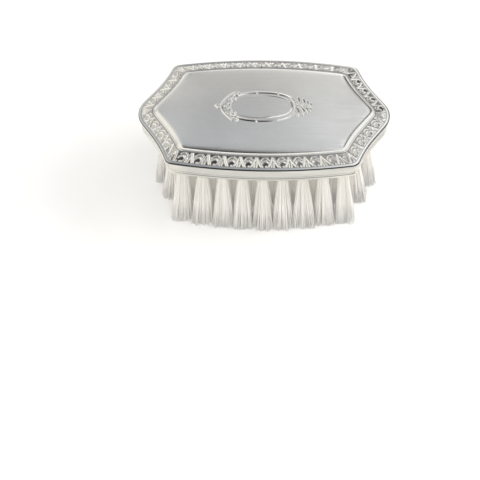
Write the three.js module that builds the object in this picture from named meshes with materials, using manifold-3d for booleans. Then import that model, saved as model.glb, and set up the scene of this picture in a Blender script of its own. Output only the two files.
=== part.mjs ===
// A handle-less vanity hairbrush that stands on its bristles: a die-struck silver back with an
// ornamental border, a plain silver side band, a bristle block, the wires that draw the tufts
// into it, and five staggered rows of soft white tufts.
//
// Millimetres. +X runs along the brush, +Z is up through the back, and the origin is on the
// surface the brush stands on, under its centre. Left and right, front and back are mirror images.

import * as THREE from 'three';
import { mergeVertices } from 'three/addons/utils/BufferGeometryUtils.js';
import Module from 'manifold-3d';

const wasm = await Module();
wasm.setup();

// --- driving dimensions -------------------------------------------------------------------
const LENGTH = 90;             // from one rounded end to the other
const WIDTH = 53.2;            // across the middle of the two long bowed sides
const RIM_Z = 35.7;            // the rim's upper edge above the surface it stands on
const GAP = 0.3;               // fitting gap between neighbouring pieces

// Outline of the rim: a round end, a short straight, a hollow and a long bowed side, four times.
const END_RADIUS = 9.5;        // round end
const END_TURN = THREE.MathUtils.degToRad(34);   // how far the round end turns to each side
const STRAIGHT = 7;            // flat stretch between the round end and the hollow
const HOLLOW_RADIUS = 46;      // hollow sweep from the flat stretch up to the corner
const SIDE_RADIUS = 185;       // long bowed side
const CORNER_EASE = 1.6;       // how much of each corner is rounded off, measured along its edges

// Silver back. A section lists insets from the rim and heights above RIM_Z, from outside in.
const SHEET = 0.8;             // thickness of the struck sheet
const RIM_SECTION = [[0.2, -SHEET], [0, -0.4], [0.3, 0], [1.3, 0.15]];   // plain rolled rim
const BORDER_INSET = 5.1;      // inner edge of the ornamental border
const BORDER_RISE = 1.5;
const STEP_INSET = 5.7;        // narrow step between the border and the panel
const STEP_RISE = 1.65;
const PANEL_INSET = 6.3;       // edge of the plain domed panel
const PANEL_RISE = 2.0;
const CROWN_Z = 39.7;          // top of the domed panel
const DOME_SHARES = [0.75, 0.4];   // the dome's rings, as shares of the panel's outline
const LEDGE_INSET = 2.2;       // flat under the rim, which sits on the side band
const CARTOUCHE = {
  halfLength: 12.6, halfWidth: 7.1, shift: -0.8, ribbon: 0.9, faceZ: 39.9, ribbonZ: 40.3,
};
const CARTOUCHE_CURVE_STEPS = 16;

// Side band: insets from the rim and heights, from the inside of its top round its rolled lip.
const BAND_SECTION = [
  [1.9, 34.6], [1.3, 34.6], [0.95, 34.2], [0.9, 32.4], [1.1, 30.6],
  [0.75, 30.0], [0.85, 29.3], [1.4, 29.0], [1.9, 29.2],
];

// Bristle block, drawing wires and tufts.
const BLOCK_INSET = 2.2;
const BLOCK_BOTTOM = 29.3;
const BLOCK_TOP = 34.6;
const BLOCK_CHAMFER = 0.4;
const HOLE_DEPTH = 4.0;        // depth of the wide part of each hole, which holds the tuft
const WIRE_RADIUS = 0.35;
const WIRE_LIFT = 0.65;        // from the block's top to the wire's axis
const WIRE_TAIL = 1.2;         // the wire runs on this far past the last hole of its row
const LEG_RADIUS = 0.27;       // the bight of wire that goes down a hole and holds a tuft
const LEG_HOLE_RADIUS = 0.6;
const ROW_COUNTS = [9, 10, 11, 10, 9];   // tufts in each row, from the front to the back
const TUFT_PITCH = 7.1;        // between neighbours in a row
const OUTER_ROW_Y = 20.5;      // middle of an outer row, from the brush's centre line
const ROW_BOW = 4.2;           // how far an outer row bends towards the centre line at BOW_X
const BOW_X = 30;
const TUFT_ROOT_RADIUS = 1.4;
const TUFT_TIP = { halfWidth: 3.2, halfDepth: 4.2 };
const SPLAY = 1.055;           // the tips stand this much further out than the roots
const ROUND_SIDES = 8;
const CUT_PAST = 1;            // how far a cutting solid runs past the face it opens

// Setting cement.
const CEMENT_INSET = 5.9;
const CEMENT_FOOT = 0.3;       // upright edge at its bottom

// --- materials ----------------------------------------------------------------------------
function material(color, roughness, metalness) {
  return new THREE.MeshStandardMaterial({ color, roughness, metalness });
}
const silverSatin = material(0xc4c5c4, 0.34, 1);
const silverPolished = material(0xdcdad2, 0.12, 1);
const cementGrey = material(0x8d8778, 0.9, 0);
const blockWhite = material(0xebe7dc, 0.5, 0);
const wireBrass = material(0xb99a5b, 0.35, 1);
const bristleWhite = material(0xefece6, 0.6, 0);

// --- solids -------------------------------------------------------------------------------
// A skin over a stack of rings that all have the same number of points. The first and last
// rings are closed by a fan round their middle, or the last joins the first in a closed tube.
function loft(rings, closedTube = false) {
  const count = rings[0].length;
  const positions = rings.flat().flatMap((p) => [p.x, p.y, p.z]);
  const index = [];
  const spans = closedTube ? rings.length : rings.length - 1;
  for (let r = 0; r < spans; r += 1) {
    const low = r * count;
    const high = ((r + 1) % rings.length) * count;
    for (let i = 0; i < count; i += 1) {
      const j = (i + 1) % count;
      index.push(low + i, low + j, high + j, low + i, high + j, high + i);
    }
  }
  if (!closedTube) {
    addFan(positions, index, rings[0], 0, true);
    addFan(positions, index, rings.at(-1), (rings.length - 1) * count, false);
  }
  const geometry = new THREE.BufferGeometry();
  geometry.setAttribute('position', new THREE.Float32BufferAttribute(positions, 3));
  geometry.setIndex(index);
  return geometry;
}

function addFan(positions, index, ring, start, facesDown) {
  const middle = new THREE.Vector3();
  ring.forEach((p) => middle.addScaledVector(p, 1 / ring.length));
  const hub = positions.length / 3;
  positions.push(middle.x, middle.y, middle.z);
  for (let i = 0; i < ring.length; i += 1) {
    const a = start + i;
    const b = start + ((i + 1) % ring.length);
    index.push(hub, facesDown ? b : a, facesDown ? a : b);
  }
}

function toSolid(geometry) {
  const bare = geometry.clone();
  bare.deleteAttribute('normal');
  bare.deleteAttribute('uv');
  const merged = mergeVertices(bare, 1e-4);
  return new wasm.Manifold(new wasm.Mesh({
    numProp: 3,
    vertProperties: new Float32Array(merged.attributes.position.array),
    triVerts: new Uint32Array(merged.index.array),
  }));
}

function toGeometry(solid) {
  const mesh = solid.getMesh();
  const geometry = new THREE.BufferGeometry();
  geometry.setAttribute('position', new THREE.Float32BufferAttribute(mesh.vertProperties, 3));
  geometry.setIndex(new THREE.Uint32BufferAttribute(mesh.triVerts, 1));
  return geometry;
}

// An upright cylinder between two points, one above the other.
function cylinder(radius, from, to) {
  const height = to.z - from.z;
  const geometry = new THREE.CylinderGeometry(radius, radius, height, ROUND_SIDES);
  geometry.rotateX(Math.PI / 2);
  geometry.translate(from.x, from.y, from.z + height / 2);
  return geometry;
}

// --- outline ------------------------------------------------------------------------------
const endCentre = new THREE.Vector2(LENGTH / 2 - END_RADIUS, 0);
const sideCentre = new THREE.Vector2(0, WIDTH / 2 - SIDE_RADIUS);
const flatNormal = new THREE.Vector2(Math.cos(END_TURN), Math.sin(END_TURN));
const flatDirection = new THREE.Vector2(-flatNormal.y, flatNormal.x);
const hollowStart = endCentre.clone().addScaledVector(flatNormal, END_RADIUS)
  .addScaledVector(flatDirection, STRAIGHT);
const hollowCentre = hollowStart.clone().addScaledVector(flatNormal, HOLLOW_RADIUS);

function pointOnArc(centre, radius, angle) {
  return new THREE.Vector2(centre.x + radius * Math.cos(angle), centre.y + radius * Math.sin(angle));
}

// Where the hollow meets the long side, for an outline moved inwards by inset.
function cornerPoint(inset) {
  const hollow = HOLLOW_RADIUS + inset;
  const side = SIDE_RADIUS - inset;
  const between = new THREE.Vector2().subVectors(hollowCentre, sideCentre);
  const distance = between.length();
  const along = (side * side - hollow * hollow + distance * distance) / (2 * distance);
  const across = Math.sqrt(side * side - along * along);
  const unit = between.normalize();
  return sideCentre.clone().addScaledVector(unit, along)
    .addScaledVector(new THREE.Vector2(-unit.y, unit.x), across);
}

// One quarter of the outline, from the round end to just before the middle of the long side.
function quarterOutline(inset) {
  const points = [];
  const endSteps = 3;
  const hollowSteps = 4;
  const sideSteps = 5;
  for (let i = 0; i <= endSteps; i += 1) {
    points.push(pointOnArc(endCentre, END_RADIUS - inset, (END_TURN * i) / endSteps));
  }
  const corner = cornerPoint(inset);
  const hollow = HOLLOW_RADIUS + inset;
  const fromHollow = corner.clone().sub(hollowCentre);
  const cornerAngle = Math.atan2(fromHollow.y, fromHollow.x) + Math.PI * 2;
  const startAngle = Math.PI + END_TURN;
  const hollowEnd = cornerAngle + CORNER_EASE / hollow;
  for (let i = 0; i <= hollowSteps; i += 1) {
    const angle = startAngle + ((hollowEnd - startAngle) * i) / hollowSteps;
    points.push(pointOnArc(hollowCentre, hollow, angle));
  }
  const side = SIDE_RADIUS - inset;
  const fromSide = corner.clone().sub(sideCentre);
  const sideStart = Math.atan2(fromSide.y, fromSide.x) + CORNER_EASE / side;
  const easedEnd = pointOnArc(sideCentre, side, sideStart);
  const easedStart = points.at(-1);
  points.push(corner.clone().multiplyScalar(0.5)
    .addScaledVector(easedStart, 0.25).addScaledVector(easedEnd, 0.25));
  for (let i = 0; i < sideSteps; i += 1) {
    points.push(pointOnArc(sideCentre, side, sideStart + ((Math.PI / 2 - sideStart) * i) / sideSteps));
  }
  return points;
}

// The whole outline at a height, counter-clockwise seen from above.
function outline(inset, z) {
  const quarter = quarterOutline(inset);
  const sideMiddle = new THREE.Vector2(0, WIDTH / 2 - inset);
  const mirrored = quarter.slice(1).reverse().map((p) => new THREE.Vector2(-p.x, p.y));
  const backHalf = [...quarter, sideMiddle, ...mirrored];
  const frontHalf = backHalf.map((p) => new THREE.Vector2(-p.x, -p.y));
  return [...backHalf, ...frontHalf].map((p) => new THREE.Vector3(p.x, p.y, z));
}

// The panel's outline shrunk towards the brush's centre, on a dome that falls away as the square.
function domeRing(share, edgeZ, crownZ, inset) {
  const z = crownZ - (crownZ - edgeZ) * share * share;
  return outline(inset, z).map((p) => new THREE.Vector3(p.x * share, p.y * share, p.z));
}

// --- silver back ----------------------------------------------------------------------------
function backPlate() {
  const panelEdge = RIM_Z + PANEL_RISE;
  const top = [
    ...RIM_SECTION.map(([inset, rise]) => outline(inset, RIM_Z + rise)),
    outline(BORDER_INSET, RIM_Z + BORDER_RISE),
    outline(STEP_INSET, RIM_Z + STEP_RISE),
    outline(PANEL_INSET, panelEdge),
    ...DOME_SHARES.map((share) => domeRing(share, panelEdge, CROWN_Z, PANEL_INSET)),
  ];
  const underEdge = panelEdge - SHEET;
  const underDome = DOME_SHARES.map(
    (share) => domeRing(share, underEdge, CROWN_Z - SHEET, PANEL_INSET));
  const under = [
    ...underDome.reverse(),
    outline(PANEL_INSET, underEdge),
    outline(BORDER_INSET, RIM_Z + BORDER_RISE - SHEET),
    outline(LEDGE_INSET, RIM_Z - SHEET),
  ];
  const shell = toSolid(loft([...under, ...top]));
  return toGeometry(shell.add(toSolid(cartoucheFace())).add(toSolid(cartoucheRibbon())));
}

function cartoucheOval(inset) {
  const oval = new THREE.Shape();
  const { halfLength, halfWidth, shift } = CARTOUCHE;
  oval.absellipse(shift, 0, halfLength - inset, halfWidth - inset, 0, Math.PI * 2);
  return oval;
}

function raise(shape, fromZ, toZ) {
  const geometry = new THREE.ExtrudeGeometry(shape, {
    depth: toZ - fromZ, bevelEnabled: false, curveSegments: CARTOUCHE_CURVE_STEPS,
  });
  geometry.translate(0, 0, fromZ);
  return geometry;
}

// The oval engraving face is flat; it is proud of the dome all round.
function cartoucheFace() {
  return raise(cartoucheOval(CARTOUCHE.ribbon / 2), CROWN_Z - SHEET / 2, CARTOUCHE.faceZ);
}

function cartoucheRibbon() {
  const ribbon = cartoucheOval(0);
  ribbon.holes.push(cartoucheOval(CARTOUCHE.ribbon));
  return raise(ribbon, CROWN_Z - SHEET, CARTOUCHE.ribbonZ);
}

// --- side band ------------------------------------------------------------------------------
function sideBand() {
  return loft(BAND_SECTION.map(([inset, z]) => outline(inset, z)).reverse(), true);
}

// --- bristle block, tufts and wires ---------------------------------------------------------
function tuftRoots(row) {
  const reach = (2 * row) / (ROW_COUNTS.length - 1) - 1;
  const count = ROW_COUNTS[row];
  return Array.from({ length: count }, (_, i) => {
    const x = (i - (count - 1) / 2) * TUFT_PITCH;
    const bow = ROW_BOW * (x / BOW_X) ** 2;
    return new THREE.Vector2(x, reach * (OUTER_ROW_Y - bow));
  });
}

// A ring round a tuft. It is a circle where the tuft leaves the block and a wide oval at the tips.
function tuftRing(root, z, clearance) {
  const fall = (BLOCK_BOTTOM - z) / BLOCK_BOTTOM;
  const halfWidth = THREE.MathUtils.lerp(TUFT_ROOT_RADIUS, TUFT_TIP.halfWidth, fall) + clearance;
  const halfDepth = THREE.MathUtils.lerp(TUFT_ROOT_RADIUS, TUFT_TIP.halfDepth, fall) + clearance;
  const centre = root.clone().multiplyScalar(1 + (SPLAY - 1) * fall);
  return Array.from({ length: ROUND_SIDES }, (_, i) => {
    const angle = ((i + 0.5) / ROUND_SIDES) * Math.PI * 2;
    return new THREE.Vector3(
      centre.x + halfWidth * Math.cos(angle), centre.y + halfDepth * Math.sin(angle), z);
  });
}

function tuft(root) {
  const rootEnd = BLOCK_BOTTOM + HOLE_DEPTH - GAP;
  return loft([tuftRing(root, 0, 0), tuftRing(root, rootEnd, 0)]);
}

function tuftHole(root) {
  const mouth = BLOCK_BOTTOM - CUT_PAST;
  return loft([tuftRing(root, mouth, GAP), tuftRing(root, BLOCK_BOTTOM + HOLE_DEPTH, GAP)]);
}

function bristleBlock(rows) {
  let block = toSolid(loft([
    outline(BLOCK_INSET, BLOCK_BOTTOM),
    outline(BLOCK_INSET, BLOCK_TOP - BLOCK_CHAMFER),
    outline(BLOCK_INSET + BLOCK_CHAMFER, BLOCK_TOP),
  ]));
  for (const root of rows.flat()) {
    const low = new THREE.Vector3(root.x, root.y, BLOCK_BOTTOM + HOLE_DEPTH / 2);
    const high = new THREE.Vector3(root.x, root.y, BLOCK_TOP + CUT_PAST);
    block = block.subtract(toSolid(tuftHole(root)));
    block = block.subtract(toSolid(cylinder(LEG_HOLE_RADIUS, low, high)));
  }
  return toGeometry(block);
}

// One wire runs along the block's top from hole to hole, with a leg down each hole to its tuft.
function drawingWire(roots) {
  const wireZ = BLOCK_TOP + WIRE_LIFT;
  const tail = new THREE.Vector2(WIRE_TAIL, 0);
  const route = [roots[0].clone().sub(tail), ...roots, roots.at(-1).clone().add(tail)];
  const runs = route.map((p) => Array.from({ length: ROUND_SIDES }, (_, i) => {
    const angle = (i / ROUND_SIDES) * Math.PI * 2;
    const y = p.y + WIRE_RADIUS * Math.cos(angle);
    return new THREE.Vector3(p.x, y, wireZ + WIRE_RADIUS * Math.sin(angle));
  }));
  let wire = toSolid(loft(runs));
  for (const root of roots) {
    const legEnd = new THREE.Vector3(root.x, root.y, BLOCK_BOTTOM + HOLE_DEPTH);
    const legTop = new THREE.Vector3(root.x, root.y, wireZ);
    wire = wire.add(toSolid(cylinder(LEG_RADIUS, legEnd, legTop)));
  }
  return toGeometry(wire);
}

// Cement fills the hollow of the silver back and beds it on the block and its wires.
function settingCement() {
  const bottom = BLOCK_TOP + WIRE_LIFT + WIRE_RADIUS + GAP;
  const edgeTop = RIM_Z + PANEL_RISE - SHEET - GAP;
  const crown = CROWN_Z - SHEET - GAP;
  return loft([
    outline(CEMENT_INSET, bottom),
    outline(CEMENT_INSET, bottom + CEMENT_FOOT),
    outline(PANEL_INSET + GAP, edgeTop),
    ...DOME_SHARES.map((share) => domeRing(share, edgeTop, crown, PANEL_INSET + GAP)),
  ]);
}

// --- assembly -------------------------------------------------------------------------------
const brush = new THREE.Group();
const rows = ROW_COUNTS.map((_, row) => tuftRoots(row));

function place(name, geometry, finish) {
  const piece = new THREE.Mesh(geometry, finish);
  piece.name = name;
  brush.add(piece);
}

place('back_plate', backPlate(), silverSatin);
place('side_band', sideBand(), silverPolished);
place('setting_cement', settingCement(), cementGrey);
place('bristle_block', bristleBlock(rows), blockWhite);
rows.forEach((roots, row) => {
  place(`drawing_wire_row_${row + 1}`, drawingWire(roots), wireBrass);
  roots.forEach((root, i) => place(`tuft_row_${row + 1}_${i + 1}`, tuft(root), bristleWhite));
});

export default brush;
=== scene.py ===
"""Looks of the silver-backed vanity hairbrush: the struck silver back with its ornament, the
polished side band, the bristle block and 49 tufts of soft white filaments, on a white table."""
import math

import bpy
import numpy as np
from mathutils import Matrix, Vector


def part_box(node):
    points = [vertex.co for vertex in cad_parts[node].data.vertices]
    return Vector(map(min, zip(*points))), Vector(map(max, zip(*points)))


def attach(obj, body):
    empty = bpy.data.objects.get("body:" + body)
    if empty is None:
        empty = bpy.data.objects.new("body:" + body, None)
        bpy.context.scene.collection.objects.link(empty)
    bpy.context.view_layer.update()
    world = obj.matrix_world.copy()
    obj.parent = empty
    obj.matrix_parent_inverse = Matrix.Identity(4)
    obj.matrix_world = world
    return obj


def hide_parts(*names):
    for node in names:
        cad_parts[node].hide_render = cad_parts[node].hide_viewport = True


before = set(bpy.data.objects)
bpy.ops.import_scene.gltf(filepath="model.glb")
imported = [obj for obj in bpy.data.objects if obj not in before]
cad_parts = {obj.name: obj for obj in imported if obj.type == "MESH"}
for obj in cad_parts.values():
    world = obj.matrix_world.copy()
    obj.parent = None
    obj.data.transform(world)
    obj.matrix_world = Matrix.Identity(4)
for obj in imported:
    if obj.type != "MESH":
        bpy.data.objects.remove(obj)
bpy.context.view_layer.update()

MM = 0.001

# --- sizes ----------------------------------------------------------------------------------
# Everything below is in millimetres until mesh_object scales it to metres.
SHEET = 0.8              # thickness of the silver, which hangs below RIM_Z along the rim
PLATE_LOW, PLATE_HIGH = (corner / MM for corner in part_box("back_plate"))
BAND_LOW, BAND_HIGH = (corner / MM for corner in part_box("side_band"))
BLOCK_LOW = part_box("bristle_block")[0] / MM
HALF_LENGTH = PLATE_HIGH.x
HALF_WIDTH = PLATE_HIGH.y
RIM_Z = PLATE_LOW.z + SHEET

# Outline of the rim, as arcs: a round end, a short straight, a hollow and a long bowed side.
END_RADIUS = 9.5
END_TURN = math.radians(34)
STRAIGHT = 7.0
HOLLOW_RADIUS = 46.0
SIDE_RADIUS = 185.0
CORNER_EASE = 2.0        # how far the rounding of a corner reaches along both its arcs
OUTLINE_STEPS = {"end": 26, "straight": 30, "hollow": 60, "corner": 14, "side": 142}

# Section of the silver back, as insets from the rim, heights above RIM_Z, and how dark the
# silver is there: bright at 0, tarnished at 1, and black from 1.4, which is painted shade for
# the dark line along the rim's outer edge and, in part, for the groove at the step.
UNDERSIDE = [(6.3, 1.1, 0.6), (5.1, 0.6, 0.6), (2.2, -0.8, 0.6), (1.3, -0.8, 0.4),
             (0.4, -0.8, 0.2), (0.22, -0.74, 0.2), (0.16, -0.64, 0.9), (0.12, -0.52, 1.6)]
# Its outer edge, up from the underside's curl, is painted near-black as shade: the dark line under the
# rim.
RIM_SECTION = [(0.03, -0.46, 1.6), (0.0, -0.4, 1.6), (0.0, -0.3, 1.6), (0.01, -0.2, 1.6),
               (0.05, -0.11, 1.6), (0.12, -0.03, 1.5), (0.22, 0.035, 1.1), (0.32, 0.07, 0.2),
               (0.44, 0.09, 0.0), (0.58, 0.1, 0.0), (0.8, 0.12, 0.0), (1.05, 0.14, 0.0),
               (1.17, 0.12, 0.4), (1.24, 0.06, 0.8)]
# The groove at 5.2 is tarnished, and painted shade makes it partly black.
STEP_SECTION = [(5.06, 1.37, 1.0), (5.2, 1.34, 1.22), (5.31, 1.39, 0.9), (5.4, 1.55, 0.0),
                (5.5, 1.62, 0.0), (5.62, 1.6, 0.0), (5.7, 1.54, 0.8), (5.78, 1.56, 0.6),
                (5.9, 1.68, 0.0), (6.08, 1.82, 0.0), (6.2, 1.9, 0.0)]
PANEL_INSET, PANEL_EDGE, _ = STEP_SECTION[-1]
CROWN_Z = PLATE_HIGH.z - 0.6    # top of the plain panel, below the CAD's ribbon
EDGE_ROLL = 0.15                # share of the dome's rise that is in the roll along its edge
ROLL_WIDTHS = (0.3, 0.95)       # how wide the roll is along the hollows and the long sides
ROLL_FOCUS = 12                 # how sharply the roll narrows where the border turns from X
DOME_TERMS = 11

# Ornamental border, between the rim and the step.
ORNAMENT_INSETS = (1.3, 5.02)
ORNAMENT_HEIGHTS = (0.08, 1.45)
ORNAMENT_RINGS = 30
ORNAMENT_RELIEF = 0.4
ORNAMENT_GAIN = (0.8, 0.35)     # share of it at the rim, and how much more there is at the step
ORNAMENT_FADE = 12              # it fades over a twelfth of the width at both edges,
ORNAMENT_FOOT = 0.3             # but this share of it is left at the rim
ORNAMENT_CLEAN = 4              # the silver is clean from a quarter of the relief upwards
CELLS_ON_SIDE = 10
CELLS_ON_HOLLOW = 4
CELL_START = 0.35               # where a run's first cell starts, as a share of the pitch
LEAF_REACH = {"corner": 1.9, "end": 1.7}
LEAF_RAYS = {"corner": 3, "end": 5}

# Cartouche, from its own centre.
CARTOUCHE_X = -0.8
RIBBON_REACH = (12.25, 6.75)
RIBBON_POWER = 2.3
ZONE_OUTER = (18.9, 8.6)        # the rings are finest between these two ovals
ZONE_INNER = (9.6, 4.2)
FIELD_RISE = 0.18               # how far the engraving field stands above the panel's crown
FIELD_FALL = 0.16               # and how much of that it loses towards its edge
HOLLOW_DIRT = 0.7
POLISHED_HEIGHT = 0.08          # relief of this height is polished, and plain metal is satin
FIELD_RINGS = 14                # between the panel's edge and the outer oval
FIELD_CROWDING = 1.8            # how much closer they lie at the edge
POLISHED_RINGS = 5              # the satin fades in over these from the panel's edge
ZONE_RINGS = 40
FACE_RINGS = 4

# Tufts. What is scattered is given as a standard deviation.
ROW_COUNTS = [9, 10, 11, 10, 9]
FILAMENTS = 330
FILAMENT_RADIUS = 0.1
FILAMENT_SWELL = 0.55           # share by which a filament is thicker at its tip
FILAMENT_SIDES = 3
FILAMENT_LEVELS = (1.0, 0.85, 0.6, 0.32, 0.0)   # heights of its rings above its tip, as shares
ROOT_DEPTH = 1.0                # how far the filaments stop below the top of the CAD's tuft
ROOT_REACH = 1.1
TIP_REACH = (4.05, 3.9)
TIP_POWER = 7.0
SPLAY = 1.055                   # the tips stand this much further out than the roots
CROWDING = 0.45                 # at 0.5 a tuft is equally full all over, below that at its edge
REACH_SCATTER = 0.04
PLACE_SCATTER = 0.25
TIP_SCATTER = 0.14
BEND_SCATTER = 0.12
TRIM_SCATTER = (0.1, 0.15)      # the least that a tuft's tips are uneven, and how much more
TRIM_CENTRE = 0.6               # share of that in the middle of the tuft
TIP_Z = (0.02, 0.9)             # lowest and highest that a tip ends

# Tones of the room. A direction's turn is its angle about X, from the back horizon at 0 over
# the zenith at a half to the front horizon at 1. Its share across is 0 at the left and 1 at
# the right. ACROSS_OVER is how much of ACROSS_TONES counts, by the turn.
TURN_TONES = [(0.0, (1.0, 1.0, 1.0)), (0.03, (0.84, 0.84, 0.83)), (0.08, (0.68, 0.675, 0.66)),
              (0.14, (0.51, 0.505, 0.495)), (0.2, (0.46, 0.457, 0.447)), (0.28, (0.31, 0.325, 0.345)),
              (0.37, (0.48, 0.515, 0.555)), (0.42, (0.2, 0.205, 0.215)), (0.49, (0.07, 0.07, 0.075)),
              (0.52, (0.015, 0.015, 0.015)), (0.595, (0.015, 0.015, 0.015)),
              (0.617, (1.25, 1.24, 1.22)), (0.69, (1.25, 1.24, 1.22)), (0.73, (0.12, 0.12, 0.12)),
              (0.79, (0.2, 0.2, 0.2)), (0.84, (0.42, 0.42, 0.42)), (0.9, (0.6, 0.6, 0.59)),
              (0.95, (0.9, 0.89, 0.87)), (1.0, (1.0, 1.0, 1.0))]
ACROSS_TONES = [(0.0, 0.98), (0.38, 1.5), (0.45, 0.82), (0.5, 0.9), (0.54, 2.05), (0.58, 3.0), (1.0, 3.0)]
ACROSS_OVER = [(0.5, 1.0), (0.6, 0.0)]
ALL_ROUND = [(0.0, 1.0), (1.0, 1.0)]
# Cards in the room: where they stand across, where they stand in the turn, and their tone.
CARDS = {
    "left": ([(0.25, 1.0), (0.36, 0.0)], ALL_ROUND, (1.0, 0.97, 0.9)),
    "left_wall": ([(0.1, 1.0), (0.2, 1.0), (0.24, 0.0)],
                  [(0.1, 0.0), (0.15, 1.0), (0.26, 1.0), (0.32, 0.0)], (0.55, 0.545, 0.53)),
    "left_glow": ([(0.36, 1.0), (0.44, 0.0)],
                  [(0.13, 0.0), (0.18, 1.0), (0.23, 1.0), (0.28, 0.0)], (0.74, 0.735, 0.72)),
    "right_glow": ([(0.5, 0.0), (0.58, 1.0)],
                   [(0.22, 0.0), (0.28, 1.0), (0.36, 1.0), (0.41, 0.0)], (1.1, 1.11, 1.12)),
    "overhead": ([(0.49, 0.0), (0.525, 1.0)],
                 [(0.36, 0.0), (0.4, 1.0), (0.47, 1.0), (0.5, 0.0)], (0.85, 0.87, 0.88)),
    "overhead_right": ([(0.53, 0.0), (0.575, 1.0)],
                       [(0.45, 0.0), (0.48, 1.0), (0.565, 1.0), (0.59, 0.0)], (1.0, 1.0, 1.0)),
    "right": ([(0.68, 0.0), (0.75, 1.0)], [(0.6, 1.0), (0.75, 0.0)], (1.05, 1.05, 1.04)),
    "dark_strip": ([(0.63, 0.0), (0.645, 1.0), (0.71, 1.0), (0.74, 0.0)],
                   [(0.2, 1.0), (0.43, 1.0), (0.46, 0.0)], (0.03, 0.03, 0.03)),
    "dark_back_right": ([(0.58, 0.0), (0.61, 1.0), (0.8, 1.0), (0.86, 0.0)],
                        [(0.02, 0.0), (0.05, 1.0), (0.22, 1.0), (0.27, 0.0)], (0.12, 0.115, 0.105)),
}
HORIZON = (1.05, 1.05, 1.05, 1)     # the pale table's own tone, below the band
HORIZON_BAND = (0.11, 0.14)         # heights of the direction over which it goes into the room

# Lights and camera, in metres, but the lens, the sensor and the table in millimetres. A light
# has its place, target, size, watts and colour, and whether it casts a shadow.
WARM = (1, 0.97, 0.93)
WHITE = (1, 1, 1)
LIGHTS = {
    "table_fill": ((0, 0, 2.0), (0, 0, 0), (2.4, 2.4), 7.5, WHITE, False),
    "front_fill": ((0.1, -1.1, 0.2), (0, 0, 0.02), (1.6, 0.3), 2.9, WARM, False),
    "front_top": ((0.15, -0.7, 0.7), (0, -0.05, 0), (0.8, 0.4), 1.8, WHITE, False),
    "back_fill": ((-0.1, 1.1, 0.2), (0, 0, 0.02), (1.6, 0.3), 3.8, WARM, False),
    "key_right": ((1.0, 0.1, 0.75), (0, 0, 0.02), (0.6, 0.6), 4.5, WHITE, True),
}
CAMERA_PLACE = Vector((0.0136, -0.3595, 0.4331))
CAMERA_FORWARD = Vector((-0.0401, 0.6053, -0.7950))
CAMERA_ROLL = math.radians(-2.15)
LENS = 111.9
SENSOR = 36
TABLE_HALF = 500


# --- mesh helpers ---------------------------------------------------------------------------
def mesh_object(name, points, faces, material, smooth=True):
    """A new object from points in millimetres."""
    mesh = bpy.data.meshes.new(name)
    mesh.from_pydata((np.asarray(points, float) * MM).tolist(), [], faces)
    mesh.update()
    mesh.polygons.foreach_set("use_smooth", [smooth] * len(mesh.polygons))
    piece = bpy.data.objects.new(name, mesh)
    bpy.context.scene.collection.objects.link(piece)
    mesh.materials.append(material)
    return piece


def ring_faces(first, second, count):
    """Quads between two rings of the same number of points."""
    i = np.arange(count)
    j = (i + 1) % count
    return np.stack([first + i, first + j, second + j, second + i], 1).tolist()


def halving_faces(first, second, count):
    """Faces from a ring of count points to one of half as many."""
    faces = []
    for k in range(count // 2):
        a = first + 2 * k
        b = first + 2 * k + 1
        c = first + (2 * k + 2) % count
        d = second + k
        e = second + (k + 1) % (count // 2)
        faces.append((a, b, d))
        faces.append((b, c, e, d))
    return faces


def put_attribute(piece, name, values):
    """Gives each point a number that the material reads."""
    layer = piece.data.attributes.new(name, "FLOAT", "POINT")
    layer.data.foreach_set("value", np.asarray(values, np.float32))


# --- outline --------------------------------------------------------------------------------
END_CENTRE = np.array([HALF_LENGTH - END_RADIUS, 0.0])
SIDE_CENTRE = np.array([0.0, HALF_WIDTH - SIDE_RADIUS])
FLAT_NORMAL = np.array([math.cos(END_TURN), math.sin(END_TURN)])
FLAT_ALONG = np.array([-FLAT_NORMAL[1], FLAT_NORMAL[0]])
HOLLOW_START = END_CENTRE + END_RADIUS * FLAT_NORMAL + STRAIGHT * FLAT_ALONG
HOLLOW_CENTRE = HOLLOW_START + HOLLOW_RADIUS * FLAT_NORMAL


def arc(centre, radius, start, stop, steps):
    angles = np.linspace(start, stop, steps, endpoint=False)
    return centre + radius * np.stack([np.cos(angles), np.sin(angles)], 1)


def corner_point(inset):
    """Where the hollow meets the long side."""
    hollow = HOLLOW_RADIUS + inset
    side = SIDE_RADIUS - inset
    between = HOLLOW_CENTRE - SIDE_CENTRE
    distance = np.linalg.norm(between)
    unit = between / distance
    along = (side ** 2 - hollow ** 2 + distance ** 2) / (2 * distance)
    across = math.sqrt(side ** 2 - along ** 2)
    return SIDE_CENTRE + along * unit + across * np.array([-unit[1], unit[0]])


def quarter_outline(inset):
    """From the round end up to just before the middle of the long side."""
    steps = OUTLINE_STEPS
    radius = END_RADIUS - inset
    end = arc(END_CENTRE, radius, 0, END_TURN, steps["end"])
    flat_start = END_CENTRE + radius * FLAT_NORMAL
    share = np.linspace(0, 1, steps["straight"], endpoint=False)[:, None]
    flat = flat_start + share * STRAIGHT * FLAT_ALONG
    corner = corner_point(inset)
    hollow = HOLLOW_RADIUS + inset
    side = SIDE_RADIUS - inset
    to_corner = corner - HOLLOW_CENTRE
    hollow_end = math.atan2(to_corner[1], to_corner[0]) + 2 * math.pi + CORNER_EASE / hollow
    sweep = arc(HOLLOW_CENTRE, hollow, math.pi + END_TURN, hollow_end, steps["hollow"])
    to_corner = corner - SIDE_CENTRE
    side_start = math.atan2(to_corner[1], to_corner[0]) + CORNER_EASE / side
    long_side = arc(SIDE_CENTRE, side, side_start, math.pi / 2, steps["side"])
    eased_start = HOLLOW_CENTRE + hollow * np.array([math.cos(hollow_end), math.sin(hollow_end)])
    t = np.linspace(0, 1, steps["corner"], endpoint=False)[:, None]
    ease = (1 - t) ** 2 * eased_start + 2 * t * (1 - t) * corner + t ** 2 * long_side[0]
    return np.concatenate([end, flat, sweep, ease, long_side])


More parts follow.
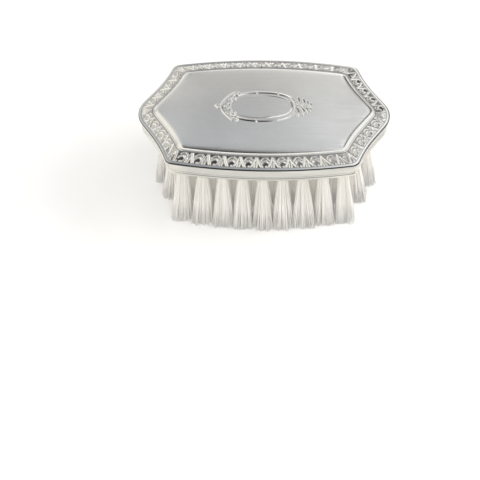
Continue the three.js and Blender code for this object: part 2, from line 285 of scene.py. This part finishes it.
def outline(inset):
    """The whole outline, counter-clockwise from the right-hand end."""
    quarter = quarter_outline(inset)
    middle = np.array([[0.0, HALF_WIDTH - inset]])
    mirrored = quarter[:0:-1] * (-1, 1)
    half = np.concatenate([quarter, middle, mirrored])
    return np.concatenate([half, -half])


COUNT = len(outline(0))
CORNER_COLUMN = (OUTLINE_STEPS["end"] + OUTLINE_STEPS["straight"] + OUTLINE_STEPS["hollow"]
                 + OUTLINE_STEPS["corner"] // 2)


# --- relief of the ornament -----------------------------------------------------------------
# One cell of the border: slanted tents over reeds, and a ribbed arch round a bead. Lengths along
# the border are shares of the pitch, and a ridge has its half width and its height.
PEAK_GAP = 0.3
THICK_FOOT, THICK_RIDGE, THICK_CLEAR = 0.36, (0.52, 1.0), 0.6
THIN_FOOT, THIN_RIDGE, THIN_CLEAR = -0.28, (0.34, 0.95), 0.4
REEDS = [(-0.09, 0.4), (0.05, 0.5)]             # where they stand, and their share of the width
REED_RIDGE = (0.26, 0.75)
ARCH_CENTRE = 0.56
ARCH_REACH = 0.42
ARCH_SINK = 0.1
ARCH_GAP = 0.05
ARCH_RIBS = [(0.94, (0.075, 0.6)), (0.66, (0.13, 1.0))]
BEAD_PLACE = (0.2, 0.3)
BEAD_RIDGE = (0.42, 0.7)
RAY_PEAK_GAP = 0.1
RAY_SPREAD = 1.5
RAY_HALF_WIDTH = 0.32
RAY_HEIGHTS = (1.0, 0.8)                        # of the two outer rays, and of those between


def ridge(distance, half_width, height=1.0):
    """A rounded ridge: height on its line and 0 from half_width outwards."""
    share = np.clip(distance / half_width, 0, 1)
    return height * (0.5 + 0.5 * np.cos(math.pi * share))


def to_segment(x, y, start, stop):
    """Distance from points to a straight segment."""
    ax, ay = start
    dx, dy = stop[0] - ax, stop[1] - ay
    t = np.clip(((x - ax) * dx + (y - ay) * dy) / (dx * dx + dy * dy), 0, 1)
    return np.hypot(x - ax - t * dx, y - ay - t * dy)


def to_line(x, y, points):
    """Distance from points to a line through several points."""
    return np.min([to_segment(x, y, a, b) for a, b in zip(points, points[1:])], axis=0)


def tent_and_arch(x, y, pitch, width):
    """One cell of the border. x runs along it from the tent's peak, y from the outer edge in."""
    peak = (0.0, width - PEAK_GAP)
    right_foot = (THICK_FOOT * pitch, 0.0)
    left_foot = (THIN_FOOT * pitch, 0.0)
    height = np.zeros_like(x)
    for shift in (-pitch, 0.0, pitch):
        from_centre = x - shift - ARCH_CENTRE * pitch
        spread = np.hypot(from_centre / (ARCH_REACH * pitch), (y + ARCH_SINK) / (width - ARCH_GAP))
        for reach, rib in ARCH_RIBS:
            height = np.maximum(height, ridge(np.abs(spread - reach), *rib))
        bead = np.hypot(from_centre - BEAD_PLACE[0], y - BEAD_PLACE[1])
        height = np.maximum(height, ridge(bead, *BEAD_RIDGE))
    for shift in (0.0, pitch):
        local = x - shift
        thick = to_segment(local, y, peak, right_foot)
        thin = to_segment(local, y, peak, left_foot)
        rise = np.clip(1 - y / peak[1], 0, 1)
        inside = (local > left_foot[0] * rise) & (local < right_foot[0] * rise)
        height = np.where(inside | (thick < THICK_CLEAR) | (thin < THIN_CLEAR), 0.0, height)
        for offset, top in REEDS:
            reed = to_segment(local, y, (offset * pitch, 0.0), (offset * pitch, top * width))
            height = np.maximum(height, ridge(reed, *REED_RIDGE))
        height = np.maximum(height, ridge(thin, *THIN_RIDGE))
        height = np.maximum(height, ridge(thick, *THICK_RIDGE))
    return height


def rayed_leaf(x, y, width, rays):
    """Rays that fan out from a point on the inner edge, at a corner or a round end."""
    peak = (0.0, width - RAY_PEAK_GAP)
    height = np.zeros_like(x)
    for k in range(rays):
        foot = ((k / (rays - 1)) * 2 - 1) * RAY_SPREAD
        lift = RAY_HEIGHTS[0] if k in (0, rays - 1) else RAY_HEIGHTS[1]
        height = np.maximum(height, ridge(to_segment(x, y, peak, (foot, 0.0)), RAY_HALF_WIDTH, lift))
    return height


def column_cells():
    """For each outline point: its place in its cell or leaf, the cell's pitch, and the leaf's
    number of rays, or -1 in a cell."""
    ring = outline(sum(ORNAMENT_INSETS) / 2)
    lengths = np.linalg.norm(np.roll(ring, -1, axis=0) - ring, axis=1)
    walked = np.concatenate([[0], np.cumsum(lengths)])
    total = walked[-1]
    half = COUNT // 2
    marks = [(0, "end"), (CORNER_COLUMN, "corner"), (half - CORNER_COLUMN, "corner")]
    marks += [(c + half, kind) for c, kind in marks]
    stops = [walked[c] for c, _ in marks] + [total]
    kinds = [kind for _, kind in marks] + ["end"]
    place = np.zeros(COUNT)
    pitch = np.ones(COUNT)
    leaf = np.full(COUNT, -1)
    for k in range(len(stops) - 1):
        before, after = kinds[k], kinds[k + 1]
        cells = CELLS_ON_SIDE if before == after == "corner" else CELLS_ON_HOLLOW
        run = walked[:-1] - stops[k]
        span = stops[k + 1] - stops[k]
        here = (run >= 0) & (run < span)
        start = here & (run < LEAF_REACH[before])
        stop = here & (run >= span - LEAF_REACH[after])
        inner = here & ~start & ~stop
        step = (span - LEAF_REACH[before] - LEAF_REACH[after]) / cells
        place[inner] = np.mod(run[inner] - LEAF_REACH[before] + CELL_START * step, step)
        pitch[inner] = step
        place[start] = run[start]
        leaf[start] = LEAF_RAYS[before]
        place[stop] = run[stop] - span
        leaf[stop] = LEAF_RAYS[after]
    return place, pitch, leaf


def border_relief(across, width, place, pitch, leaf):
    """Height of the ornament at one ring, from 0 to 1."""
    y = np.full(COUNT, across)
    relief = tent_and_arch(place, y, pitch, width)
    for rays in LEAF_RAYS.values():
        relief = np.where(leaf == rays, rayed_leaf(place, y, width, rays), relief)
    return relief


# --- relief of the cartouche ----------------------------------------------------------------
# The left scrolls, the sweep outside them and the right leaves are mirrored in y.
RIBBON_RIDGE = (0.74, 0.24)
RIBBON_START = (-9.2, -8.4)                     # it rises between these, right of the scrolls
FIELD_EDGE = (0.95, 1.55)                       # how far inside the ribbon the field begins
INNER_RIB_INSET = 1.6
INNER_RIB_RIDGE = (0.5, 0.14)
INNER_RIB_START = (0.5, 4.0)
TIES = [(-1.6, -1), (-1.7, 1), (5.9, -1), (5.9, 1)]
TIE_REACH = 0.45
TIE_RIDGE = (0.45, 0.28)
LEFT_SCROLLS = [((-9.0, 6.0), 0.75, (0.62, 0.28)), ((-9.8, 3.4), 0.8, (0.55, 0.28))]
LEFT_SWEEP = [(-9.9, 6.6), (-11.5, 5.2), (-13.0, 3.3), (-14.0, 1.5), (-14.3, 0.0)]
SWEEP_RIDGE = (0.62, 0.24)
LEFT_BEADS = [(-11.5, 1.1, 0.8), (-12.7, -0.1, 0.75), (-11.4, -1.2, 0.8), (-12.2, 3.3, 0.8),
              (-12.2, -3.3, 0.8), (-10.9, 5.2, 0.65), (-10.9, -5.2, 0.65)]
LEFT_BEAD_HEIGHT = 0.32
RIGHT_SCROLL = ((12.35, 2.1), 0.5, (0.4, 0.2))
LEAF_TIPS = [(12.9, 4.5), (14.75, 3.7), (16.1, 2.75), (17.2, 1.8)]
LEAF_STEM = (-0.95, 0.3)                        # x from the leaf's tip, and y
LEAF_BENDS = [(-0.2, 0.28), (0.3, 0.6), (0.0, 1.0)]     # x from its tip, and share of the tip's y
LEAF_RIDGE = (0.52, 0.26)
STROKES = [((-16.3, 0.3), (-15.2, -0.9), (0.55, 0.26)), ((-16.1, 0.75), (-15.2, 0.75), (0.45, 0.2)),
           ((12.2, 0.0), (18.0, 0.0), (0.45, 0.26))]
HOLLOW_MARGIN = 0.35                            # how far the dark hollow reaches beside a ridge
HOLLOW_TOP = 0.15                               # height of the ornament at which it has gone


def from_ribbon(x, y):
    """How far a point is outside the ribbon's middle line, which is a slightly squared oval."""
    a, b = RIBBON_REACH
    p = RIBBON_POWER
    level = np.maximum((np.abs(x / a) ** p + np.abs(y / b) ** p) ** (1 / p), 0.05)
    slope_x = np.abs(x / a) ** (p - 1) / a
    slope_y = np.abs(y / b) ** (p - 1) / b
    return (level - 1) * level ** (p - 1) / np.maximum(np.hypot(slope_x, slope_y), 0.01)


def ribbon_y(x):
    """Half-width of the ribbon's middle line at x."""
    a, b = RIBBON_REACH
    return b * (1 - abs(x / a) ** RIBBON_POWER) ** (1 / RIBBON_POWER)


def step_up(value, low, high):
    """A smooth step from 0 at low to 1 at high."""
    share = np.clip((value - low) / (high - low), 0, 1)
    return share * share * (3 - 2 * share)


def cartouche_relief(x, y):
    """What the cartouche does at points: the height of its ornament, how deep they are in the
    dark hollow beside it, the share of the engraving field, and the height of the field's rib."""
    height = np.zeros_like(x)
    near = np.zeros_like(x)

    def lift(distance, half_width, top):
        nonlocal height, near
        height = np.maximum(height, ridge(distance, half_width, top))
        near = np.maximum(near, ridge(distance, half_width + HOLLOW_MARGIN))

    out = from_ribbon(x, y)
    field = step_up(-out, *FIELD_EDGE)
    height = np.maximum(height, ridge(np.abs(out), *RIBBON_RIDGE) * step_up(x, *RIBBON_START))
    inner_rib = ridge(np.abs(out + INNER_RIB_INSET), *INNER_RIB_RIDGE) * step_up(x, *INNER_RIB_START)
    for tie_x, way in TIES:
        tie_y = way * ribbon_y(tie_x)
        tie = to_segment(x, y, (tie_x, tie_y - TIE_REACH), (tie_x, tie_y + TIE_REACH))
        lift(tie, *TIE_RIDGE)
    for way in (-1, 1):
        for (centre_x, centre_y), radius, scroll_ridge in LEFT_SCROLLS + [RIGHT_SCROLL]:
            lift(np.abs(np.hypot(x - centre_x, y - way * centre_y) - radius), *scroll_ridge)
        lift(to_line(x, y, [(px, way * py) for px, py in LEFT_SWEEP]), *SWEEP_RIDGE)
        for tip_x, tip_y in LEAF_TIPS:
            leaf = [(tip_x + LEAF_STEM[0], LEAF_STEM[1])]
            leaf += [(tip_x + bend, share * tip_y) for bend, share in LEAF_BENDS]
            lift(to_line(x, y, [(px, way * py) for px, py in leaf]), *LEAF_RIDGE)
    for bead_x, bead_y, radius in LEFT_BEADS:
        lift(np.hypot(x - bead_x, y - bead_y), radius, LEFT_BEAD_HEIGHT)
    for start, stop, stroke_ridge in STROKES:
        lift(to_segment(x, y, start, stop), *stroke_ridge)
    return height, near * (1 - np.clip(height / HOLLOW_TOP, 0, 1)), field, inner_rib


# --- silver back ----------------------------------------------------------------------------
def harmonics(points):
    """Smooth functions with no curvature of their own, even in x and in y, one a column."""
    w = (points[:, 0] + 1j * points[:, 1]) / HALF_LENGTH
    return np.stack([(w ** (2 * k)).real for k in range(DOME_TERMS)], 1)


def dome(border):
    """The height of the plain panel as a function of points: a skin blown up from its border,
    with a roll along the border that is widest where the border runs along X."""
    bulge = (border ** 2).sum(1)
    along = np.roll(border, -1, axis=0) - np.roll(border, 1, axis=0)
    facing_side = (np.abs(along[:, 0]) / np.linalg.norm(along, axis=1)) ** ROLL_FOCUS
    widths = ROLL_WIDTHS[0] + facing_side * (ROLL_WIDTHS[1] - ROLL_WIDTHS[0])
    weights = np.linalg.lstsq(harmonics(border), bulge, rcond=None)[0]
    drop = CROWN_Z - RIM_Z - PANEL_EDGE

    def height(points):
        full = np.clip((harmonics(points) @ weights - (points ** 2).sum(1)) / weights[0], 0, 1)
        reach = np.linalg.norm(points[:, None] - border[None], axis=2)
        nearest = reach.argmin(1)
        roll = 1 - np.exp(-reach.min(1) / widths[nearest])
        return RIM_Z + PANEL_EDGE + drop * ((1 - EDGE_ROLL) * full + EDGE_ROLL * roll)

    return height


def skin(rings):
    """Faces between rings of points that follow each other, each as long as the last or half
    as long, with a fan from the last ring to one more point and from the first to another."""
    starts = np.concatenate([[0], np.cumsum([len(ring) for ring in rings])])
    faces = []
    for k in range(len(rings) - 1):
        join = ring_faces if len(rings[k + 1]) == len(rings[k]) else halving_faces
        faces += join(starts[k], starts[k + 1], len(rings[k]))
    last, hub = starts[-2:]
    count = len(rings[-1])
    faces += [(last + i, last + (i + 1) % count, hub) for i in range(count)]
    count = len(rings[0])
    faces += [(hub + 1, (i + 1) % count, i) for i in range(count)]
    return faces


def back_plate(material):
    """The silver back, ring by ring from its underside over the rim to the cartouche. Each ring
    also says how dark the silver is, from tarnish up to painted black shade, and how much of it
    is satin instead of polished."""
    rings = []
    tarnish_and_shade = []
    satin = []
    width = ORNAMENT_INSETS[1] - ORNAMENT_INSETS[0]
    place, pitch, leaf = column_cells()

    def add_ring(inset, z, low=0.0):
        points = outline(inset)
        rings.append(np.column_stack([points, np.broadcast_to(z, len(points))]))
        tarnish_and_shade.append(np.broadcast_to(low, len(points)))
        satin.append(np.zeros(len(points)))

    for inset, z, low in UNDERSIDE + RIM_SECTION:
        add_ring(inset, RIM_Z + z, low)
    for k in range(ORNAMENT_RINGS):
        share = k / (ORNAMENT_RINGS - 1)
        base = ORNAMENT_HEIGHTS[0] + share * (ORNAMENT_HEIGHTS[1] - ORNAMENT_HEIGHTS[0])
        relief = border_relief(share * width, width, place, pitch, leaf)
        fade = min(1.0, ORNAMENT_FOOT + ORNAMENT_FADE * share, ORNAMENT_FADE * (1 - share))
        fade *= ORNAMENT_GAIN[0] + ORNAMENT_GAIN[1] * share
        low = 1 - np.clip(relief * fade * ORNAMENT_CLEAN, 0, 1)
        inset = ORNAMENT_INSETS[0] + share * width
        add_ring(inset, RIM_Z + base + ORNAMENT_RELIEF * relief * fade, low)
    for inset, z, low in STEP_SECTION:
        add_ring(inset, RIM_Z + z, low)

    border = outline(PANEL_INSET)[::2]
    panel_height = dome(border)
    centre = np.array([CARTOUCHE_X, 0.0])
    angle = np.arctan2(border[:, 1] / ZONE_OUTER[1], (border[:, 0] - CARTOUCHE_X) / ZONE_OUTER[0])
    around = np.stack([np.cos(angle), np.sin(angle)], 1)

    def add_inner_ring(points, matt=1.0):
        x = points[:, 0] - CARTOUCHE_X
        y = points[:, 1]
        relief, hollow, field, inner_rib = cartouche_relief(x, y)
        panel = panel_height(points)
        across_field = (x / RIBBON_REACH[0]) ** 2 + (y / RIBBON_REACH[1]) ** 2
        engraved = CROWN_Z + FIELD_RISE - FIELD_FALL * across_field + inner_rib
        z = np.maximum(panel + relief, panel + (engraved - panel) * field)
        rings.append(np.column_stack([points, z]))
        tarnish_and_shade.append(HOLLOW_DIRT * hollow)
        satin.append(matt * (1 - np.clip(np.maximum(relief, inner_rib) / POLISHED_HEIGHT, 0, 1)))

    outer = centre + around * ZONE_OUTER
    inner = centre + around * ZONE_INNER
    for k in range(1, FIELD_RINGS + 1):
        share = (k / FIELD_RINGS) ** FIELD_CROWDING
        add_inner_ring(border + (outer - border) * share, min(1.0, k / POLISHED_RINGS))
    for k in range(1, ZONE_RINGS + 1):
        add_inner_ring(outer + (inner - outer) * k / ZONE_RINGS)
    for k in range(1, FACE_RINGS):
        add_inner_ring(centre + (inner - centre) * (1 - k / FACE_RINGS))

    middles = [[CARTOUCHE_X, 0, CROWN_Z + FIELD_RISE], [0, 0, CROWN_Z - SHEET]]
    piece = mesh_object("silver_back", np.vstack(rings + [middles]), skin(rings), material)
    put_attribute(piece, "tarnish_and_shade", np.concatenate(tarnish_and_shade + [[0, 0]]))
    put_attribute(piece, "satin", np.concatenate(satin + [[1, 0]]))
    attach(piece, "root")
    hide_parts("back_plate")


# --- side band ------------------------------------------------------------------------------
# Insets from the rim, and heights as shares of the band's height.
BAND_SECTION = [(1.9, 0.03), (1.9, 0.5), (1.9, 1.0), (1.6, 1.0), (1.32, 0.99), (1.08, 0.95),
                (0.92, 0.88), (0.86, 0.78), (0.86, 0.66), (0.9, 0.54), (0.98, 0.42), (1.1, 0.33),
                (1.2, 0.27), (1.2, 0.23), (1.08, 0.2), (0.92, 0.17), (0.82, 0.12), (0.82, 0.07),
                (0.94, 0.02), (1.2, 0.0), (1.6, 0.0)]


def side_band(material):
    """A closed tube of rings along the outline, with a rolled lip at its foot."""
    rings = []
    for inset, share in BAND_SECTION:
        points = outline(inset)[::2]
        z = BAND_LOW.z + share * (BAND_HIGH.z - BAND_LOW.z)
        rings.append(np.column_stack([points, np.full(len(points), z)]))
    count = len(rings[0])
    faces = []
    for k in range(len(rings)):
        faces += ring_faces(((k + 1) % len(rings)) * count, k * count, count)
    piece = mesh_object("side_band_polished", np.concatenate(rings), faces, material)
    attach(piece, "root")
    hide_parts("side_band")


# --- tufts ----------------------------------------------------------------------------------
def tuft(node, material, rng):
    """A bundle of filaments that spreads from a round root in the block to a wide oval tip."""
    low, high = (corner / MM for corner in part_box(node))
    tip_centre = np.array([(low.x + high.x) / 2, (low.y + high.y) / 2])
    root_centre = tip_centre / SPLAY
    tip_reach = np.array(TIP_REACH) * (1 + REACH_SCATTER * rng.standard_normal(2))
    tip_centre = tip_centre + PLACE_SCATTER * rng.standard_normal(2)
    top = high.z - ROOT_DEPTH
    mouth = BLOCK_LOW.z
    trim = TRIM_SCATTER[0] + TRIM_SCATTER[1] * rng.random()
    sides = FILAMENT_SIDES
    points = []
    faces = []
    for _ in range(FILAMENTS):
        radius = rng.random() ** CROWDING
        angle = rng.random() * 2 * math.pi
        unit = np.array([math.cos(angle), math.sin(angle)])
        square = (abs(unit[0]) ** TIP_POWER + abs(unit[1]) ** TIP_POWER) ** (1 / TIP_POWER)
        start = root_centre + ROOT_REACH * radius * unit
        stop = tip_centre + tip_reach * radius * unit / square + TIP_SCATTER * rng.standard_normal(2)
        bend = BEND_SCATTER * rng.standard_normal(2)
        uneven = TRIM_CENTRE + (1 - TRIM_CENTRE) * radius
        end_z = min(TIP_Z[1], TIP_Z[0] + abs(trim * rng.standard_normal()) * uneven)
        twist = rng.random() * 2 * math.pi
        base = len(points)
        for level in FILAMENT_LEVELS:
            z = end_z + level * (top - end_z)
            fall = max(0.0, (mouth - z) / mouth)
            x, y = start + (stop - start) * fall + bend * math.sin(math.pi * fall)
            thick = FILAMENT_RADIUS * (1 + FILAMENT_SWELL * fall)
            for s in range(sides):
                turn = twist + s * 2 * math.pi / sides
                points.append((x + thick * math.cos(turn), y + thick * math.sin(turn), z))
        last = len(points) - sides
        for a in range(base, last, sides):
            for s in range(sides):
                b = (s + 1) % sides
                faces.append((a + s, a + s + sides, a + b + sides, a + b))
        faces.append(tuple(range(base, base + sides)))
        faces.append(tuple(range(last + sides - 1, last - 1, -1)))
    piece = mesh_object(node.replace("tuft", "bristles"), points, faces, material)
    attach(piece, "root")
    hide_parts(node)


# --- materials ------------------------------------------------------------------------------
class Nodes:
    """A short way to write the nodes of a new material, or of the world."""

    def __init__(self, owner, shader="Principled BSDF"):
        owner.use_nodes = True
        self.owner = owner
        self.tree = owner.node_tree
        self.shader = self.tree.nodes[shader]

    def add(self, kind, **settings):
        node = self.tree.nodes.new(kind)
        for key, value in settings.items():
            if key in node.inputs.keys():
                node.inputs[key].default_value = value
            else:
                setattr(node, key, value)
        return node

    def give(self, socket, value):
        """Links a socket to another, or sets it to a plain value."""
        if isinstance(value, bpy.types.NodeSocket):
            self.tree.links.new(value, socket)
        else:
            socket.default_value = value

    def set(self, key, value):
        self.give(self.shader.inputs[key], value)

    def place(self, kind="Object"):
        """X, Y and Z of the object's own coordinates, or of another kind."""
        split = self.add("ShaderNodeSeparateXYZ")
        self.give(split.inputs[0], self.add("ShaderNodeTexCoord").outputs[kind])
        return split.outputs

    def noise(self, stretch, detail=3.0, roughness=0.55):
        """Noise in the object's coordinates, stretched."""
        scale = self.add("ShaderNodeMapping", Scale=stretch)
        self.give(scale.inputs["Vector"], self.add("ShaderNodeTexCoord").outputs["Object"])
        node = self.add("ShaderNodeTexNoise", Scale=1.0, Detail=detail, Roughness=roughness)
        self.give(node.inputs["Vector"], scale.outputs["Vector"])
        return node.outputs["Fac"]

    def range(self, source, low, high, to_low=0.0, to_high=1.0):
        node = self.add("ShaderNodeMapRange")
        for key, value in zip(("From Min", "From Max", "To Min", "To Max"), (low, high, to_low, to_high)):
            node.inputs[key].default_value = value
        self.give(node.inputs["Value"], source)
        return node.outputs["Result"]

    def mix(self, share, first, second, kind="MIX"):
        """A colour between two, by a share from 0 to 1."""
        node = self.add("ShaderNodeMix", data_type="RGBA", blend_type=kind)
        for spot, value in zip((0, 6, 7), (share, first, second)):
            self.give(node.inputs[spot], value)
        return node.outputs[2]

    def ramp(self, source, stops):
        """Colours at positions from 0 to 1."""
        node = self.add("ShaderNodeValToRGB")
        self.give(node.inputs["Fac"], source)
        elements = node.color_ramp.elements
        while len(elements) < len(stops):
            elements.new(0.5)
        for element, (position, colour) in zip(elements, stops):
            element.position = position
            element.color = (*colour, 1)
        return node.outputs["Color"]

    def calculate(self, operation, first, second):
        node = self.add("ShaderNodeMath", operation=operation)
        self.give(node.inputs[0], first)
        self.give(node.inputs[1], second)
        return node.outputs[0]

    def attribute(self, name):
        return self.add("ShaderNodeAttribute", attribute_name=name).outputs["Fac"]

    def bump(self, height, distance, strength):
        node = self.add("ShaderNodeBump", Strength=strength, Distance=distance)
        self.give(node.inputs["Height"], height)
        self.set("Normal", node.outputs["Normal"])


def struck_silver():
    """Silver with fine satin lines along X on the panel, bright relief, tarnish in its hollows, and
    painted black shade along the rim's edge and in the step's groove.
    """
    m = Nodes(bpy.data.materials.new("struck_silver"))
    satin = m.attribute("satin")
    tarnish_and_shade = m.attribute("tarnish_and_shade")
    cloud = m.noise((90, 90, 90), 4)
    brush_lines = m.noise((45, 2300, 1200), 3, 0.65)
    fine_lines = m.noise((260, 16000, 6000), 2, 0.7)
    lines = m.calculate("ADD", m.calculate("MULTIPLY", brush_lines, 0.65),
                        m.calculate("MULTIPLY", fine_lines, 0.35))
    bright = m.mix(m.range(cloud, 0.35, 0.7), (0.90, 0.89, 0.865, 1), (0.84, 0.83, 0.80, 1))
    lined = m.mix(m.calculate("MULTIPLY", satin, m.range(lines, 0.38, 0.62, 0.0, 0.4)),
                  bright, (0.74, 0.74, 0.73, 1))
    tarnish = m.calculate("MULTIPLY", m.range(tarnish_and_shade, 0.35, 1.0), m.range(cloud, 0.3, 0.6, 0.7, 1.0))
    oxidised = m.mix(tarnish, lined, (0.56, 0.545, 0.51, 1))
    # Past 1.05 the value paints near-black shade: the dark line along the rim's edge and in the step's
    # groove.
    m.set("Base Color", m.mix(m.range(tarnish_and_shade, 1.05, 1.4), oxidised, (0.03, 0.03, 0.03, 1)))
    m.set("Metallic", 1.0)
    rough = m.calculate("ADD", m.range(satin, 0.0, 1.0, 0.12, 0.3), m.range(tarnish_and_shade, 0.3, 1.0, 0.0, 0.03))
    m.set("Roughness", m.calculate("ADD", rough, m.range(lines, 0.35, 0.65, -0.03, 0.05)))
    m.bump(m.calculate("MULTIPLY", lines, satin), 0.00003, 0.35)
    return m.owner


def polished_silver():
    """Warm silver with fine scuffs, and soft grey patches painted in as a wavy reflection."""
    m = Nodes(bpy.data.materials.new("polished_silver"))
    cloud = m.noise((120, 120, 160), 4)
    scuffs = m.noise((300, 300, 4200), 3, 0.7)
    painted_reflection_patches = m.noise((28, 28, 160), 1)
    plain = m.mix(m.range(cloud, 0.35, 0.7), (0.80, 0.78, 0.72, 1), (0.75, 0.725, 0.66, 1))
    # Soft grey patches darken the band here as a painted reflection.
    m.set("Base Color", m.mix(m.range(painted_reflection_patches, 0.45, 0.6, 0.0, 0.8), plain, (0.55, 0.545, 0.515, 1)))
    m.set("Metallic", 1.0)
    m.set("Roughness", m.calculate("ADD", m.range(scuffs, 0.45, 0.75, 0.07, 0.15),
                                   m.range(cloud, 0.3, 0.7, 0.0, 0.03)))
    m.bump(cloud, 0.00006, 0.25)
    return m.owner


def white_plastic():
    """Moulded plastic that has yellowed a little."""
    m = Nodes(bpy.data.materials.new("white_plastic"))
    grain = m.noise((900, 900, 900), 5, 0.6)
    cloud = m.noise((70, 70, 70), 3)
    m.set("Base Color", m.mix(m.range(cloud, 0.3, 0.7), (0.86, 0.84, 0.78, 1), (0.80, 0.77, 0.70, 1)))
    m.set("Roughness", m.range(grain, 0.3, 0.7, 0.38, 0.55))
    m.bump(grain, 0.00004, 0.5)
    return m.owner


def brass_wire():
    """Brass with drawing marks along X."""
    m = Nodes(bpy.data.materials.new("brass_wire"))
    drawn = m.noise((120, 5000, 5000), 3, 0.6)
    m.set("Base Color", m.mix(m.range(drawn, 0.35, 0.7), (0.72, 0.53, 0.25, 1), (0.55, 0.39, 0.17, 1)))
    m.set("Metallic", 1.0)
    m.set("Roughness", m.range(drawn, 0.3, 0.7, 0.25, 0.45))
    return m.owner


def grey_cement():
    """Gritty cement."""
    m = Nodes(bpy.data.materials.new("grey_cement"))
    grit = m.noise((1400, 1400, 1400), 6, 0.65)
    m.set("Base Color", m.mix(m.range(grit, 0.35, 0.65), (0.30, 0.28, 0.24, 1), (0.42, 0.40, 0.35, 1)))
    m.set("Roughness", m.range(grit, 0.3, 0.7, 0.8, 0.95))
    m.bump(grit, 0.0002, 0.6)
    return m.owner


def white_bristle():
    """Nylon with fine streaks along it, aged in patches, and painted light that makes it paler towards
    the tips.
    """
    m = Nodes(bpy.data.materials.new("white_bristle"))
    streaks = m.noise((2600, 2600, 60), 3, 0.6)
    cloud = m.noise((130, 130, 60), 3)
    strands = m.mix(m.range(streaks, 0.35, 0.65), (0.86, 0.83, 0.78, 1), (0.90, 0.88, 0.845, 1))
    aged = m.mix(m.range(cloud, 0.35, 0.75, 0.0, 0.4), strands, (0.84, 0.79, 0.71, 1))
    # Painted light: paler towards the tips, so the parts nearer the roots read darker.
    painted_light_at_tips = m.range(m.place()["Z"], 0.0, 0.028, 0.75, 0.0)
    m.set("Base Color", m.mix(painted_light_at_tips, aged, (0.95, 0.94, 0.915, 1)))
    m.set("Roughness", 0.42)
    m.set("Sheen Weight", 0.3)
    m.set("Sheen Roughness", 0.5)
    return m.owner


def white_table():
    """Matt white with a faint grain."""
    m = Nodes(bpy.data.materials.new("table_white"))
    grain = m.noise((40, 40, 40), 2)
    m.set("Base Color", m.mix(m.range(grain, 0.3, 0.7), (0.93, 0.93, 0.93, 1), (0.95, 0.95, 0.95, 1)))
    m.set("Roughness", 0.8)
    return m.owner


# --- table, light and camera ----------------------------------------------------------------
def table_top():
    half = TABLE_HALF
    corners = [(-half, -half, 0), (half, -half, 0), (half, half, 0), (-half, half, 0)]
    mesh_object("table", corners, [(0, 1, 2, 3)], white_table(), smooth=False)


def area_light(name, place, target, size, power, colour, shadow):
    """A soft light that is itself seen neither by the camera nor in the silver."""
    data = bpy.data.lights.new(name, "AREA")
    data.shape = "RECTANGLE"
    data.size, data.size_y = size
    data.energy = power
    data.color = colour
    data.use_shadow = shadow
    light = bpy.data.objects.new(name, data)
    light.location = place
    light.rotation_euler = (Vector(target) - Vector(place)).to_track_quat("-Z", "Y").to_euler()
    light.visible_camera = False
    light.visible_glossy = False
    bpy.context.scene.collection.objects.link(light)


def grey(stops):
    """Stops with one number each, as colours."""
    return [(position, (value,) * 3) for position, value in stops]


def studio():
    """The pale room that the silver reflects, and the lights."""
    world = bpy.data.worlds.new("studio")
    bpy.context.scene.world = world
    w = Nodes(world, "Background")
    x, y, z = w.place("Generated")
    turn = w.calculate("DIVIDE", w.calculate("ARCTAN2", z, y), math.pi)
    across = w.range(x, -1.0, 1.0)
    tone = w.mix(w.ramp(turn, grey(ACROSS_OVER)), w.ramp(turn, TURN_TONES),
                 w.ramp(across, grey(ACROSS_TONES)), "MULTIPLY")
    for stops_across, stops_turn, colour in CARDS.values():
        share = w.mix(1.0, w.ramp(across, grey(stops_across)), w.ramp(turn, grey(stops_turn)), "MULTIPLY")
        tone = w.mix(share, tone, (*colour, 1))
    w.set("Color", w.mix(w.range(z, *HORIZON_BAND, 1.0, 0.0), tone, HORIZON))
    for name, light in LIGHTS.items():
        area_light(name, *light)


def camera():
    """The photo's view: from above and slightly from the right, rolled by a few degrees."""
    data = bpy.data.cameras.new("camera")
    data.lens = LENS
    data.sensor_width = SENSOR
    data.clip_start = 0.01
    view = bpy.data.objects.new("camera", data)
    view.location = CAMERA_PLACE
    view.rotation_euler = CAMERA_FORWARD.to_track_quat("-Z", "Y").to_euler()
    view.rotation_euler.rotate_axis("Z", CAMERA_ROLL)
    bpy.context.scene.collection.objects.link(view)
    bpy.context.scene.camera = view


# --- the brush ------------------------------------------------------------------------------
def finish_node(node, material):
    """Gives a carried-over CAD node its material."""
    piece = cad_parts[node]
    piece.data.materials.clear()
    piece.data.materials.append(material)


table_top()
studio()
camera()
bpy.context.scene.view_settings.view_transform = "Standard"
back_plate(struck_silver())
side_band(polished_silver())
finish_node("bristle_block", white_plastic())
finish_node("setting_cement", grey_cement())
wire = brass_wire()
bristle = white_bristle()
generator = np.random.default_rng(7)
for row, tufts_in_row in enumerate(ROW_COUNTS, 1):
    finish_node(f"drawing_wire_row_{row}", wire)
    for number in range(1, tufts_in_row + 1):
        tuft(f"tuft_row_{row}_{number}", bristle, generator)
